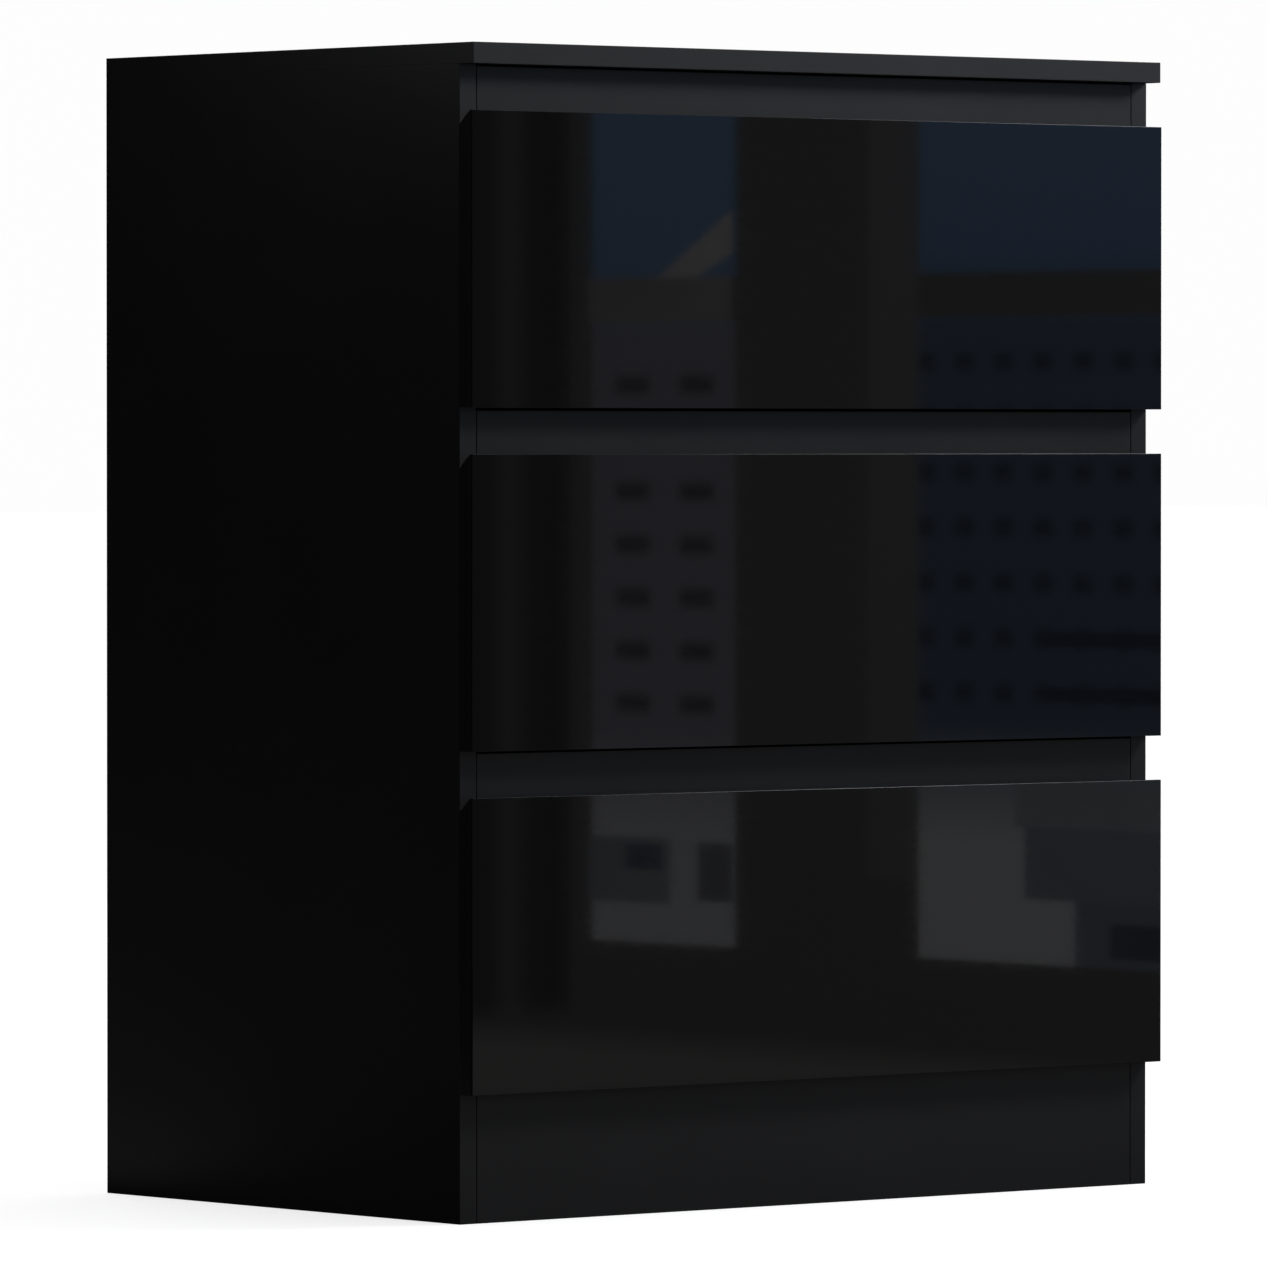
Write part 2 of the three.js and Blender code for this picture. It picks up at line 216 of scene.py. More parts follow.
def zinc(nodes):
    """Bright zinc plating on rolled steel, with drawing lines along the part."""
    drawn = nodes.noise(500, 3, 0.6, nodes.stretched((1, 0.02, 1)))
    bloom = nodes.noise(45, 3, 0.6, nodes.stretched((1, 1, 1)))
    tint = nodes.ramp(bloom, (0.3, (0.46, 0.47, 0.48)), (0.7, (0.62, 0.63, 0.63)))
    return {
        "Base Color": tint,
        "Metallic": 1.0,
        "Roughness": nodes.span(drawn, 0.3, 0.7, 0.24, 0.42),
        "Normal": nodes.bump(drawn, 0.08, 0.0002),
    }


def cast_zinc(nodes):
    """Die-cast zinc of cams and plated screws: duller than the runners, with small casting marks."""
    marks = nodes.noise(320, 4, 0.6, nodes.stretched((1, 1, 1)))
    tint = nodes.ramp(marks, (0.3, (0.40, 0.40, 0.41)), (0.7, (0.58, 0.58, 0.57)))
    return {
        "Base Color": tint,
        "Metallic": 1.0,
        "Roughness": nodes.span(marks, 0.3, 0.7, 0.34, 0.52),
        "Normal": nodes.bump(marks, 0.15, 0.0002),
    }


def nylon(nodes):
    """Off-white nylon with a faint moulded grain."""
    grain = nodes.noise(700, 3, 0.6, nodes.stretched((1, 1, 1)))
    tint = nodes.ramp(grain, (0.3, (0.72, 0.70, 0.64)), (0.7, (0.80, 0.78, 0.73)))
    return {
        "Base Color": tint,
        "Roughness": nodes.span(grain, 0.3, 0.7, 0.38, 0.5),
        "Normal": nodes.bump(grain, 0.1, 0.0002),
    }


MATERIALS = {
    "carcass_black": principled("satin_black_melamine", melamine),
    "gloss_front": principled("gloss_black_acrylic", acrylic),
    "front_board_black": principled("black_gloss_band", gloss_band),
    "drawer_foil": principled("grey_linen_foil", linen_foil),
    "hardboard": principled("brown_hardboard", hardboard),
    "runner_steel": principled("zinc_plated_steel", zinc),
    "roller_nylon": principled("white_nylon", nylon),
    "fastener_zinc": principled("cast_zinc", cast_zinc),
}
SLOT_OF = {part["node"]: part["material_slot"] for part in frame["record"]["subparts"]}


# ---- The CAD nodes: eased edges and materials ----
def ease_edges(node, width):
    """Welds the node's triangles, drops the lines across flat faces and rounds the edges a little."""
    node.modifiers.new("weld", "WELD").merge_threshold = 0.01 * MM
    flat = node.modifiers.new("flat", "DECIMATE")
    flat.decimate_type = "DISSOLVE"
    flat.angle_limit = math.radians(1)
    arris = node.modifiers.new("arris", "BEVEL")
    arris.width = width
    arris.segments = 2
    arris.limit_method = "ANGLE"
    arris.angle_limit = math.radians(40)
    arris.harden_normals = True
    arris.use_clamp_overlap = True


ARRIS = {
    "carcass_black": 0.35 * MM,
    "gloss_front": 0.2 * MM,
    "front_board_black": 0.25 * MM,
    "drawer_foil": 0.4 * MM,
    "hardboard": 0.2 * MM,
    "runner_steel": 0.15 * MM,
    "roller_nylon": 0.3 * MM,
}

for name, node in NODES.items():
    slot = SLOT_OF[name]
    node.data.materials.clear()
    node.data.materials.append(MATERIALS[slot])
    ease_edges(node, ARRIS[slot])


# ---- Mesh helpers ----
def turned(shape, profile, place, axis, closed=False, steps=40):
    """Turns (radius, along) points about an axis through a place; returns the last ring and the seat."""
    seat = Matrix.Translation(place) @ Vector(axis).to_track_quat("Z", "Y").to_matrix().to_4x4()
    angles = [2 * math.pi * step / steps for step in range(steps)]
    rings = []
    for radius, along in profile:
        corners = [(0, 0)] if radius == 0 else [(radius * math.cos(a), radius * math.sin(a)) for a in angles]
        rings.append([shape.verts.new(seat @ Vector((x, y, along))) for x, y in corners])
    following = rings[1:] + rings[:1] if closed else rings[1:]
    for ring, after in zip(rings, following):
        for step in range(steps):
            corners = [ring[step % len(ring)], ring[(step + 1) % len(ring)],
                       after[(step + 1) % len(after)], after[step % len(after)]]
            shape.faces.new(list(dict.fromkeys(corners)))
    return rings[-1], seat


def cross_outline(reach, slot):
    """The twelve corners of a cross, anticlockwise."""
    corners = [(reach, -slot), (reach, slot), (slot, slot)]
    outline = []
    for _ in range(4):
        outline += corners
        corners = [(-y, x) for x, y in corners]
    return outline


def crossed_head(shape, profile, place, axis, reach, slot, depth):
    """A turned head whose flat top has a cross-shaped driving recess."""
    rim, seat = turned(shape, profile, place, axis)
    top = profile[-1][1]
    mouth, foot = [[shape.verts.new(seat @ Vector((scale * x, scale * y, along)))
                    for x, y in cross_outline(reach, slot)]
                   for scale, along in ((1.0, top), (0.6, top - depth))]
    count = len(mouth)
    for k in range(count):
        shape.faces.new((mouth[k], mouth[(k + 1) % count], foot[(k + 1) % count], foot[k]))
    shape.faces.new(foot)
    loops = [shape.edges.get((loop[k - 1], loop[k])) for loop in (rim, mouth) for k in range(len(loop))]
    bmesh.ops.triangle_fill(shape, edges=loops, use_beauty=True)


def mesh_of(name, shape, slot):
    """A mesh with faces out, smooth where it is round, and its slot's finish."""
    bmesh.ops.recalc_face_normals(shape, faces=shape.faces)
    mesh = bpy.data.meshes.new(name)
    shape.to_mesh(mesh)
    shape.free()
    mesh.materials.append(MATERIALS[slot])
    mesh.polygons.foreach_set("use_smooth", [True] * len(mesh.polygons))
    mesh.set_sharp_from_angle(angle=math.radians(35))
    return mesh


def piece_of(name, shape, slot, body):
    """A named piece made in mesh code, which rides on a body."""
    piece = bpy.data.objects.new(name, mesh_of(name, shape, slot))
    bpy.context.scene.collection.objects.link(piece)
    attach(piece, body)
    return piece


# ---- Cam connectors ----
CAM_R = 7.2 * MM
CAM_FROM_JOINT = 34 * MM
CAM_FROM_EDGE = 55 * MM
CAM_SUNK = 0.4 * MM
CAM_BODY = 9 * MM
DRAWER_CAM_LEVELS = (0.3, 0.8)  # shares of the drawer side's height


def cam(shape, place, outward):
    """A die-cast cam in its housing: a bevelled disc with a sunk face and a driving cross."""
    rim = CAM_R - 0.5 * MM
    profile = [(0, -CAM_BODY), (CAM_R, -CAM_BODY), (CAM_R, -0.5 * MM), (rim, 0), (rim - 0.9 * MM, 0),
               (rim - 1.3 * MM, -0.5 * MM)]
    sunk = Vector(place) - CAM_SUNK * Vector(outward)
    crossed_head(shape, profile, sunk, outward, 3.4 * MM, 0.9 * MM, 3 * MM)


def cross_board_cams(shape, node, outward):
    """A cam near each end of one face of a cross board. outward is 1 for the rear face, -1 for the front."""
    low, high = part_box(node)
    face = high.y if outward > 0 else low.y
    for x in (low.x + CAM_FROM_JOINT, high.x - CAM_FROM_JOINT):
        cam(shape, (x, face, (low.z + high.z) / 2), (0, outward, 0))


def carcass_cams():
    shape = bmesh.new()
    for node in ("plinth_front", "front_rail_lower", "front_rail_upper", "front_rail_top"):
        cross_board_cams(shape, node, 1)
    for node in ("plinth_rear", "rear_rail_top"):
        cross_board_cams(shape, node, -1)
    for side_name, side in SIDES.items():
        low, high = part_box(f"side_panel_{side_name}")
        inner = low.x if side > 0 else high.x
        for y in (low.y + CAM_FROM_EDGE, high.y - CAM_FROM_EDGE):
            cam(shape, (inner, y, high.z - CAM_FROM_JOINT), (-side, 0, 0))
    low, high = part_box("bottom_panel")
    for x in (low.x + CAM_FROM_JOINT, high.x - CAM_FROM_JOINT):
        for y in (low.y - FIT + CAM_FROM_EDGE, high.y + FIT - CAM_FROM_EDGE):
            cam(shape, (x, y, low.z), (0, 0, -1))
    piece_of("carcass_cam_connectors", shape, "fastener_zinc", "carcass")


def drawer_cams(drawer):
    """Two cams in each drawer side, which pull it to the front board."""
    shape = bmesh.new()
    for side_name, side in SIDES.items():
        low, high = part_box(f"{drawer}_drawer_side_{side_name}")
        inner = low.x if side > 0 else high.x
        for share in DRAWER_CAM_LEVELS:
            place = (inner, low.y + CAM_FROM_JOINT, low.z + share * (high.z - low.z))
            cam(shape, place, (-side, 0, 0))
    piece_of(f"{drawer}_drawer_cam_connectors", shape, "fastener_zinc", f"{drawer}_drawer")


# ---- Screws and nails ----
NAILS_IN_A_ROW = 6


def flat_screw(shape, place, outward, length):
    """A countersunk screw: its head stands a hair proud of the sheet that it holds."""
    profile = [(0, -length), (1.6 * MM, -length + 2 * MM), (1.6 * MM, -2.2 * MM), (3.4 * MM, -0.3 * MM),
               (3.4 * MM, 0), (3.1 * MM, 0.12 * MM)]
    crossed_head(shape, profile, place, outward, 1.8 * MM, 0.4 * MM, 1.4 * MM)


def back_panel_nails():
    """Nails through the back panel into the rear edges of the bottom panel and the rear rail."""
    shape = bmesh.new()
    low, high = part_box("back_panel")
    levels = [sum(corner.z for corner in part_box(node)) / 2 for node in ("bottom_panel", "rear_rail_top")]
    dome = [(0, -12 * MM), (0.8 * MM, -11 * MM), (0.8 * MM, 0), (2.6 * MM, 0.1 * MM), (2.5 * MM, 0.5 * MM),
            (1.8 * MM, 0.8 * MM), (0.8 * MM, 0.95 * MM), (0, 1.0 * MM)]
    for z in levels:
        for k in range(NAILS_IN_A_ROW):
            x = low.x + (high.x - low.x) * (k + 0.5) / NAILS_IN_A_ROW
            turned(shape, dome, (x, high.y, z), (0, 1, 0), steps=24)
    piece_of("back_panel_nails", shape, "fastener_zinc", "carcass")


# ---- Runners: distances in from the carcass side and up from the cabinet member's underside ----
STEEL = 1.2 * MM
FOLD_R = 1.0 * MM
AXLE_R = 2.5 * MM
ROLLER_R = 10 * MM
ROLLER_IN = (2.4 * MM, 8.2 * MM)
AXLE_UP = STEEL + FIT + ROLLER_R
TREAD_IN = 11.9 * MM  # the drawer member's upright web
CUP_IN = 9.4 * MM  # the cabinet member's lip
TAB_H = 4.7 * MM  # the stop tab, which ends the rear roller's travel
TAB_CUT = 0.8 * MM
TRAVEL = next(joint["range_m"][1] for joint in frame["joints"] if joint["type"] == "slide")
SCREW_SHARES = (0.12, 0.42, 0.88)  # of the member's length
SCREW_OUT = 18.5 * MM  # from the carcass side to the screws into the drawer side
SLOT_R = 2.1 * MM
SLOT_STEP = 9 * MM
RIVET_PROUD = 0.7 * MM


def folded_sheet(path, thickness, radius, steps=5):
    """The closed outline of a sheet that follows a path, with its corners folded to a radius."""
    points = [Vector(point) for point in path]
    middle = [points[0]]
    for before, corner, after in zip(points, points[1:], points[2:]):
        back, on = (before - corner).normalized(), (after - corner).normalized()
        start, end = corner + radius * back, corner + radius * on
        centre = corner + radius * (back + on)
        for step in range(steps + 1):
            turn = step / steps * math.pi / 2
            middle.append(centre - radius * (on * math.cos(turn) + back * math.sin(turn)))
    middle.append(points[-1])
    along = [(b - a).normalized() for a, b in zip(middle, middle[1:])]
    along = [along[0]] + [(a + b).normalized() for a, b in zip(along, along[1:])] + [along[-1]]
    across = [Vector((-d.y, d.x)) * thickness / 2 for d in along]
    return [m + n for m, n in zip(middle, across)] + [m - n for m, n in zip(middle[::-1], across[::-1])]


def extruded(shape, outline, from_y, to_y, place):
    """Extrudes an outline along Y; place turns each outline point and y into a corner."""
    ends = [[shape.verts.new(place(point, y)) for point in outline] for y in (from_y, to_y)]
    count = len(outline)
    for k in range(count):
        shape.faces.new((ends[0][k], ends[0][(k + 1) % count], ends[1][(k + 1) % count], ends[1][k]))
    shape.faces.new(ends[0])
    shape.faces.new(ends[1])


def cut_from(piece, cutter_shape):
    """Cuts the cutters from a piece's mesh for good."""
    cutter = bpy.data.objects.new("cutter", bpy.data.meshes.new("cutter"))
    bmesh.ops.recalc_face_normals(cutter_shape, faces=cutter_shape.faces)
    cutter_shape.to_mesh(cutter.data)
    cutter_shape.free()
    bpy.context.scene.collection.objects.link(cutter)
    cutting = piece.modifiers.new("cut", "BOOLEAN")
    cutting.operation = "DIFFERENCE"
    cutting.solver = "EXACT"
    cutting.object = cutter
    bpy.context.view_layer.update()
    done = bpy.data.meshes.new_from_object(piece.evaluated_get(bpy.context.evaluated_depsgraph_get()))
    piece.modifiers.clear()
    piece.data = done
    bpy.data.objects.remove(cutter)


class RunnerPlace:
    """Where one side's runner of one drawer is, from the CAD model's cabinet member."""

    def __init__(self, drawer, side_name):
        self.side = SIDES[side_name]
        low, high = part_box(f"{drawer}_runner_cabinet_{side_name}")
        self.wall = high.x if self.side > 0 else low.x
        self.base = low.z
        self.ends = (low.y, high.y)
        low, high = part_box(f"{drawer}_runner_drawer_{side_name}")
        self.drawer_ends = (low.y, high.y)

    def at(self, inward, y, up):
        return Vector((self.wall - self.side * inward, y, self.base + up))

    def corner(self, point, y):
        return self.at(point[0], y, point[1])

    def inward(self):
        return Vector((-self.side, 0, 0))


def rivet(shape, spot, y, root, head):
    """A roller's axle: a shank from the web with a domed head past the roller."""
    out = math.copysign(1, head - root)
    length = abs(head - root)
    profile = [(0, 0), (AXLE_R, 0), (AXLE_R, length - RIVET_PROUD), (4 * MM, length - RIVET_PROUD),
               (4 * MM, length - 0.4 * MM), (3.2 * MM, length - 0.1 * MM), (0, length)]
    turned(shape, profile, spot.at(root, y, AXLE_UP), out * spot.inward(), steps=32)


def roller_ys(drawer, side_name):
    """Where the front and rear rollers' axles are along Y."""
    return [sum(corner.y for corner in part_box(f"{drawer}_roller_{end}_{side_name}")) / 2
            for end in ("front", "rear")]


def screw_ys(ends):
    return [ends[0] + share * (ends[1] - ends[0]) for share in SCREW_SHARES]


def web_slots(spot):
    """Cutters for four mounting holes behind each screw in a cabinet member's web."""
    shape = bmesh.new()
    for y in screw_ys(spot.ends):
        for step in range(4):
            turned(shape, [(0, -2 * MM), (SLOT_R, -2 * MM), (SLOT_R, 3 * MM), (0, 3 * MM)],
                   spot.at(0, y + 12 * MM + step * SLOT_STEP, AXLE_UP), spot.inward(), steps=20)
    return shape


def cabinet_runner(drawer, side_name):
    """The channel on the carcass, with its front axle, stop tab, mounting holes and screws."""
    spot = RunnerPlace(drawer, side_name)
    shape = bmesh.new()
    half = STEEL / 2
    path = [(CUP_IN, 3.2 * MM), (CUP_IN, half), (half, half), (half, 24.6 * MM), (5.5 * MM, 24.6 * MM)]
    extruded(shape, folded_sheet(path, STEEL, FOLD_R), *spot.ends, spot.corner)
    name = f"{drawer}_cabinet_runner_{side_name}"
    runner = piece_of(name, shape, "runner_steel", "carcass")
    cut_from(runner, web_slots(spot))
    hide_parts(f"{drawer}_runner_cabinet_{side_name}")

    shape = bmesh.new()
    front_y, rear_y = roller_ys(drawer, side_name)
    rivet(shape, spot, front_y, half, ROLLER_IN[1] + FIT + RIVET_PROUD)
    tab_rear = rear_y - TRAVEL - math.sqrt(ROLLER_R ** 2 - (AXLE_UP - TAB_H) ** 2) - FIT
    outer, inner = ROLLER_IN
    tab = [(outer, half), (inner, half), (inner, TAB_H - TAB_CUT), (inner - TAB_CUT, TAB_H),
           (outer + TAB_CUT, TAB_H), (outer, TAB_H - TAB_CUT)]
    extruded(shape, tab, tab_rear - 3 * MM, tab_rear, spot.corner)
    piece_of(f"{name}_axle_and_stop", shape, "runner_steel", "carcass")

    shape = bmesh.new()
    for y in screw_ys(spot.ends):
        flat_screw(shape, spot.at(STEEL, y, AXLE_UP), spot.inward(), 13 * MM)
    piece_of(f"{name}_screws", shape, "fastener_zinc", "carcass")


def drawer_runner(drawer, side_name):
    """The member under the drawer side: shelf, web and riding flange, its rear axle and its screws."""
    spot = RunnerPlace(drawer, side_name)
    body = f"{drawer}_drawer"
    shape = bmesh.new()
    path = [(3.2 * MM, 22.4 * MM), (TREAD_IN, 22.4 * MM), (TREAD_IN, 3.4 * MM), (24 * MM, 3.4 * MM)]
    extruded(shape, folded_sheet(path, STEEL, FOLD_R), *spot.drawer_ends, spot.corner)
    name = f"{drawer}_drawer_runner_{side_name}"
    runner = piece_of(name, shape, "runner_steel", body)
    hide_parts(f"{drawer}_runner_drawer_{side_name}")

    shape = bmesh.new()
    rear_y = roller_ys(drawer, side_name)[1]
    rivet(shape, spot, rear_y, TREAD_IN, ROLLER_IN[0] - FIT - RIVET_PROUD)
    piece_of(f"{name}_axle", shape, "runner_steel", body)

    shape = bmesh.new()
    for y in screw_ys(spot.drawer_ends):
        flat_screw(shape, spot.at(SCREW_OUT, y, 2.8 * MM), (0, 0, -1), 12 * MM)
    piece_of(f"{name}_screws", shape, "fastener_zinc", body)


def roller(drawer, end, side_name):
    """A nylon roller: a crowned tread, a thin web between rim and hub, and a bore for its rivet."""
    node = f"{drawer}_roller_{end}_{side_name}"
    low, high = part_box(node)
    half = (high.x - low.x) / 2
    outer = (high.z - low.z) / 2
    bore = AXLE_R + 0.1 * MM
    side_of_wheel = [(bore, half), (4.4 * MM, half), (4.8 * MM, half - 0.9 * MM), (7.4 * MM, half - 0.9 * MM),
                     (7.8 * MM, half), (outer - 1.0 * MM, half), (outer - 0.3 * MM, half - 0.5 * MM),
                     (outer, half - 1.2 * MM)]
    profile = side_of_wheel + [(radius, -along) for radius, along in reversed(side_of_wheel)]
    shape = bmesh.new()
    turned(shape, profile, (low + high) / 2, (1, 0, 0), closed=True, steps=56)
    wheel = piece_of(f"{node}_wheel", shape, "roller_nylon", node)
    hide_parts(node)


carcass_cams()
back_panel_nails()
for drawer in DRAWERS:
    drawer_cams(drawer)
    for side_name in SIDES:
        cabinet_runner(drawer, side_name)
        drawer_runner(drawer, side_name)
        for end in ("front", "rear"):
            roller(drawer, end, side_name)


# ---- Stage ----
def emission(name, build):
    """A light-giving material whose build(nodes) returns its colour."""
    material = bpy.data.materials.new(name)
    nodes = Nodes(material)
    light = nodes.add("ShaderNodeEmission", {"Color": build(nodes), "Strength": 1.0})
    nodes.add("ShaderNodeOutputMaterial", {"Surface": light.outputs["Emission"]})
    return material


def sheet_of(name, corners, material):
    """A flat four-cornered stage piece."""
    mesh = bpy.data.meshes.new(name)
    mesh.from_pydata([Vector(corner) for corner in corners], [], [(0, 1, 2, 3)])
    mesh.materials.append(material)
    piece = bpy.data.objects.new(name, mesh)
    bpy.context.scene.collection.objects.link(piece)
    return piece


def floor_sheet(name, x, y, z, material):
    return sheet_of(name, [(x[0], y[0], z), (x[1], y[0], z), (x[1], y[1], z), (x[0], y[1], z)], material)


def floor_paint(nodes):
    mottle = nodes.noise(1.5, 2, 0.5, nodes.stretched((1, 1, 1)))
    return {
        "Base Color": nodes.ramp(mottle, (0.3, (0.395, 0.395, 0.395)), (0.7, (0.405, 0.405, 0.405))),
        "Roughness": 0.9,
        "Specular IOR Level": 0.0,
        "Emission Color": (1, 1, 1, 1),
        "Emission Strength": 0.74,
    }


PALE = 0.985  # the background's white
FLOOR_REACH = (-60.0, 60.0)
floor = floor_sheet("floor", FLOOR_REACH, FLOOR_REACH, 0, principled("pale_floor", floor_paint))
floor.visible_diffuse = False
floor.visible_glossy = False


def unseen(card):
    """A card that lights and is mirrored, but that the camera doesn't see and that shades nothing."""
    card.visible_camera = False
    card.visible_shadow = False
    return card


WINDOW_TOP = 2.2


def height_ramp(nodes, *stops):
    """A colour by height above the floor, with the stops given in metres."""
    place = nodes.add("ShaderNodeTexCoord").outputs["Object"]
    up = nodes.add("ShaderNodeSeparateXYZ", {"Vector": place}).outputs["Z"]
    return nodes.ramp(nodes.math("DIVIDE", up, WINDOW_TOP), *[(z / WINDOW_TOP, color) for z, color in stops])


# What the chest mirrors of its floor: a dim sheet on each side, and brighter patches near its front.
def floor_glow(name, x, y, level, soft, lift=1 * MM):
    """A sheet of warm light on the floor, which fades to clear over a soft distance from its edges."""
    material = bpy.data.materials.new(name)
    nodes = Nodes(material)
    place = nodes.add("ShaderNodeTexCoord").outputs["Object"]
    parts = nodes.add("ShaderNodeSeparateXYZ", {"Vector": place}).outputs
    shares = [nodes.span(parts[axis], edge, edge + step, 0.0, 1.0)
              for axis, (low, high) in (("X", x), ("Y", y)) for edge, step in ((low, soft), (high, -soft))]
    share = nodes.math("MULTIPLY", nodes.math("MULTIPLY", shares[0], shares[1]),
                       nodes.math("MULTIPLY", shares[2], shares[3]))
    light = nodes.add("ShaderNodeEmission", {"Color": (1.0, 0.98, 0.955, 1.0), "Strength": level})
    faded = nodes.add("ShaderNodeMixShader", {0: share})
    nodes.put(faded.inputs[1], nodes.add("ShaderNodeBsdfTransparent").outputs["BSDF"])
    nodes.put(faded.inputs[2], light.outputs["Emission"])
    nodes.add("ShaderNodeOutputMaterial", {"Surface": faded.outputs["Shader"]})
    unseen(floor_sheet(name, x, y, lift, material)).visible_diffuse = False


floor_glow("floor_glow_front", (-1.6, 2.15), (-2.5, -0.3), 0.14, 0.3)
floor_glow("floor_glow_window", (0.25, 1.35), (-2.35, -1.05), 0.24, 0.3, 2 * MM)
floor_glow("floor_glow_plinth", (-0.7, 1.2), (-1.4, -0.3), 0.19, 0.15, 3 * MM)
floor_glow("floor_glow_rear", (-1.5, 3.0), (0.4, 3.2), 0.10, 0.4)
floor_glow("floor_glow_right", (0.40, 3.0), (-0.3, 1.0), 0.10, 0.3)
floor_glow("floor_glow_left", (-0.52, -0.36), (0.2, 0.9), 0.24, 0.04)
floor_glow("floor_glow_far_left", (-1.8, -1.1), (0.75, 1.4), 0.09, 0.05)


# A tall soft window to the right of the chest: two panes with buildings outside, a wide frame and a curtain.
WINDOW_X = 2.2
WINDOW_FOOT = 0.02
WALL_FOOT = -0.35  # the wall is mirrored past the floor sheets, so it reaches below them
CURTAIN_FOOT = -0.12
TRANSOM = (0.675, 0.72)
PANE_FAR = (-3.135, -2.90)
PANE_NEAR = (-2.61, -1.5)
BRIGHT_FOLD = -3.24
FOLD_WIDTH = 0.03
UPPER_SKY = ((1.1, (0.24, 0.36, 0.56)), (2.1, (0.45, 0.52, 0.62)))
BUILDING_TOP = 0.64
STOREY = 0.056
FAR_ROW = 0.272
NEAR_ROW = 0.293
STOREY_SOFT = 0.006


def window_card(name, y, z, build, lift=0.0):
    x = WINDOW_X - lift
    corners = [(x, y[0], z[0]), (x, y[1], z[0]), (x, y[1], z[1]), (x, y[0], z[1])]
    return unseen(sheet_of(name, corners, emission(name, build)))


def storeys(nodes, color, lowest, first, pitch, width, depth):
    """Rows of soft darker windows over a building's front, from a lowest row and a first window's y."""
    place = nodes.add("ShaderNodeTexCoord").outputs["Object"]
    parts = nodes.add("ShaderNodeSeparateXYZ", {"Vector": place}).outputs
    share = nodes.span(parts["Z"], lowest - STOREY / 2, lowest - STOREY / 4, 0.0, depth)
    for axis, start, step, size in (("Y", first, pitch, width), ("Z", lowest, STOREY, STOREY / 3)):
        turns = nodes.math("DIVIDE", nodes.math("SUBTRACT", parts[axis], start), step)
        away = nodes.math("MULTIPLY", nodes.math("PINGPONG", turns, 0.5), step)
        near = nodes.span(away, size / 2 - STOREY_SOFT, size / 2 + STOREY_SOFT, 1.0, 0.0)
        share = nodes.math("MULTIPLY", share, near)
    share = nodes.math("MULTIPLY", share, nodes.math("LESS_THAN", parts["Z"], BUILDING_TOP))
    kept = nodes.math("SUBTRACT", 1.0, share)
    return nodes.add("ShaderNodeVectorMath", {0: color, "Scale": kept}, operation="SCALE").outputs["Vector"]


def far_pane_light(nodes):
    color = height_ramp(nodes, (0.0, (0.54, 0.55, 0.58)), (0.14, (0.51, 0.52, 0.56)),
                        (0.24, (0.27, 0.27, 0.32)), (0.66, (0.26, 0.26, 0.31)),
                        (0.74, (0.18, 0.29, 0.48)), *UPPER_SKY)
    return storeys(nodes, color, FAR_ROW, -3.068, 0.105, 0.056, 0.6)


def near_pane_light(nodes):
    color = height_ramp(nodes, (0.0, (0.56, 0.57, 0.60)), (0.14, (0.58, 0.59, 0.61)),
                        (0.26, (0.11, 0.145, 0.215)), (0.66, (0.12, 0.16, 0.235)),
                        (0.74, (0.17, 0.27, 0.46)), *UPPER_SKY)
    return storeys(nodes, color, NEAR_ROW, -2.54, 0.06, 0.028, 0.5)


def frame_light(nodes):
    return height_ramp(nodes, (0.0, (0.140, 0.139, 0.137)), (0.4, (0.146, 0.145, 0.143)),
                       (2.1, (0.142, 0.142, 0.143)))


def jamb_light(nodes):
    return height_ramp(nodes, (0.0, (0.17, 0.17, 0.17)), (2.1, (0.23, 0.23, 0.26)))


def plain_light(nodes, color):
    """A colour that varies a little from place to place."""
    clouds = nodes.noise(9.0, 2, 0.5, nodes.stretched((1, 1, 1)))
    return nodes.ramp(clouds, (0.3, 0.93 * Vector(color)), (0.7, 1.07 * Vector(color)))


def foot_light(nodes):
    return plain_light(nodes, (0.24, 0.235, 0.225))


def curtain_light(nodes):
    """Soft uneven upright folds, one of them brighter."""
    place = nodes.add("ShaderNodeTexCoord").outputs["Object"]
    along = nodes.add("ShaderNodeSeparateXYZ", {"Vector": place}).outputs["Y"]
    away = nodes.math("ABSOLUTE", nodes.math("SUBTRACT", along, BRIGHT_FOLD))
    fold = nodes.span(away, 0.0, FOLD_WIDTH, 0.5, 0.0)
    uneven = nodes.noise(26, 2, 0.6, nodes.stretched((0, 1, 0.01)))
    mixed = nodes.math("ADD", nodes.math("MULTIPLY", uneven, 0.8), fold)
    return nodes.ramp(mixed, (0.25, (0.060, 0.060, 0.060)), (0.5, (0.090, 0.090, 0.090)),
                      (0.95, (0.15, 0.15, 0.152)))


window_card("window_frame", (-3.6, -1.2), (WALL_FOOT, WINDOW_TOP), frame_light)
window_card("window_jamb", (-2.69, PANE_NEAR[0]), (0.1, WINDOW_TOP), jamb_light, 0.01)
window_card("window_curtain", (-4.6, PANE_FAR[0]), (CURTAIN_FOOT, WINDOW_TOP), curtain_light, 0.04)
window_card("window_curtain_foot", (-4.6, PANE_FAR[0]), (WALL_FOOT, CURTAIN_FOOT), foot_light, 0.04)
for name, y, light in (("far", PANE_FAR, far_pane_light), ("near", PANE_NEAR, near_pane_light)):
    window_card(f"window_pane_{name}_low", y, (WINDOW_FOOT, TRANSOM[0]), light, 0.01)
    window_card(f"window_pane_{name}_high", y, (TRANSOM[1], WINDOW_TOP - 0.08), light, 0.01)


def outside(name, corners, color, lift=0.015):
    """A plain shape seen through the window, with its corners as y and height."""
    place = [(WINDOW_X - lift, y, z) for y, z in corners]
    unseen(sheet_of(name, place, emission(name, lambda nodes: plain_light(nodes, color))))


def block(name, y, z, color, lift=0.015):
    outside(name, [(y[0], z[0]), (y[1], z[0]), (y[1], z[1]), (y[0], z[1])], color, lift)


